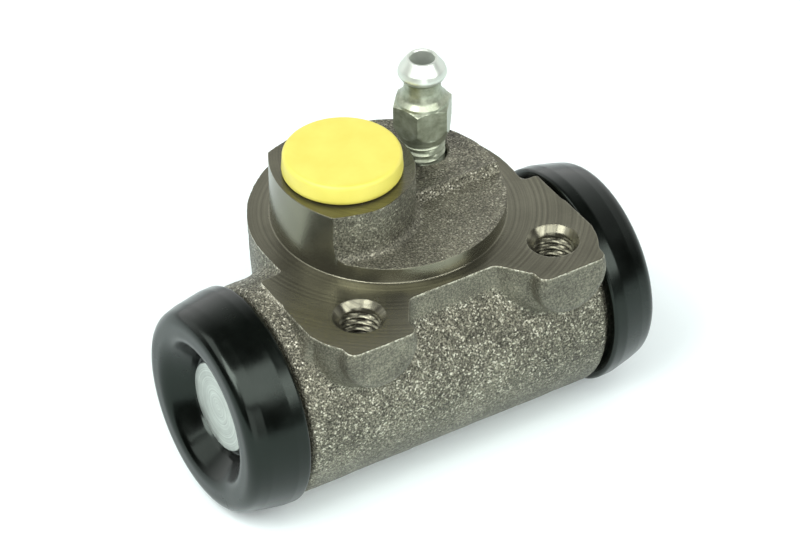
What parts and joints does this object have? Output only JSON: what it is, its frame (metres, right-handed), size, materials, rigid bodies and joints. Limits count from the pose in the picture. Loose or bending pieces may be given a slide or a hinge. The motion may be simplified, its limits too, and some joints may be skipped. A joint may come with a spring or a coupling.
{
  "type": "wheel cylinder",
  "caption": "Drum brake wheel cylinder: cast body with round spigot, flange and lugs, opposed pistons under rubber boots, bleed screw and plugged inlet port.",
  "frame": {"origin": "centre of the round mounting spigot, on the plane of the mounting face", "axes": "+X along the cylinder's bore, towards the end with the bleed screw; +Z outwards from the mounting face"},
  "size_m": [0.06, 0.0412, 0.0465],
  "materials": {
    "cast_iron": "sand-cast grey iron, turned where it seats and seals",
    "turned_aluminium": "fine turned aluminium",
    "black_rubber": "moulded black rubber with a soft sheen",
    "seal_rubber": "moulded black seal rubber",
    "pressed_steel": "pressed zinc-plated steel",
    "spring_steel": "drawn spring steel wire",
    "zinc_plated_steel": "turned and hexagonal steel, pale zinc plating",
    "yellow_plastic": "soft moulded yellow plastic"
  },
  "bodies": {
    "cylinder": {"cylinder_body": "cast_iron", "left_dust_boot": "black_rubber", "right_dust_boot": "black_rubber", "return_spring": "spring_steel"},
    "left_piston_set": {"left_piston": "turned_aluminium", "left_cup_seal": "seal_rubber", "left_cup_expander": "pressed_steel"},
    "right_piston_set": {"right_piston": "turned_aluminium", "right_cup_seal": "seal_rubber", "right_cup_expander": "pressed_steel"},
    "bleeder": {"bleed_screw": "zinc_plated_steel"},
    "plug": {"port_plug": "yellow_plastic"}
  },
  "joints": [
    {"name": "left_piston_slide", "type": "slide", "parent": "cylinder", "child": "left_piston_set", "axis": [-1, 0, 0], "range_m": [-0.0015, 0.006], "deforming": ["left_dust_boot", "return_spring"]},
    {"name": "right_piston_slide", "type": "slide", "parent": "cylinder", "child": "right_piston_set", "axis": [1, 0, 0], "range_m": [-0.0015, 0.006], "deforming": ["right_dust_boot"]},
    {"name": "bleed_screw_turn", "type": "hinge", "parent": "cylinder", "child": "bleeder", "pos_m": [0.00825, 0.0049, 0], "axis": [0, 0, 1], "range_deg": [0, 180]},
    {"name": "port_plug_pull", "type": "slide", "parent": "cylinder", "child": "plug", "axis": [0, 0, 1], "range_m": [0, 0.009]}
  ]
}
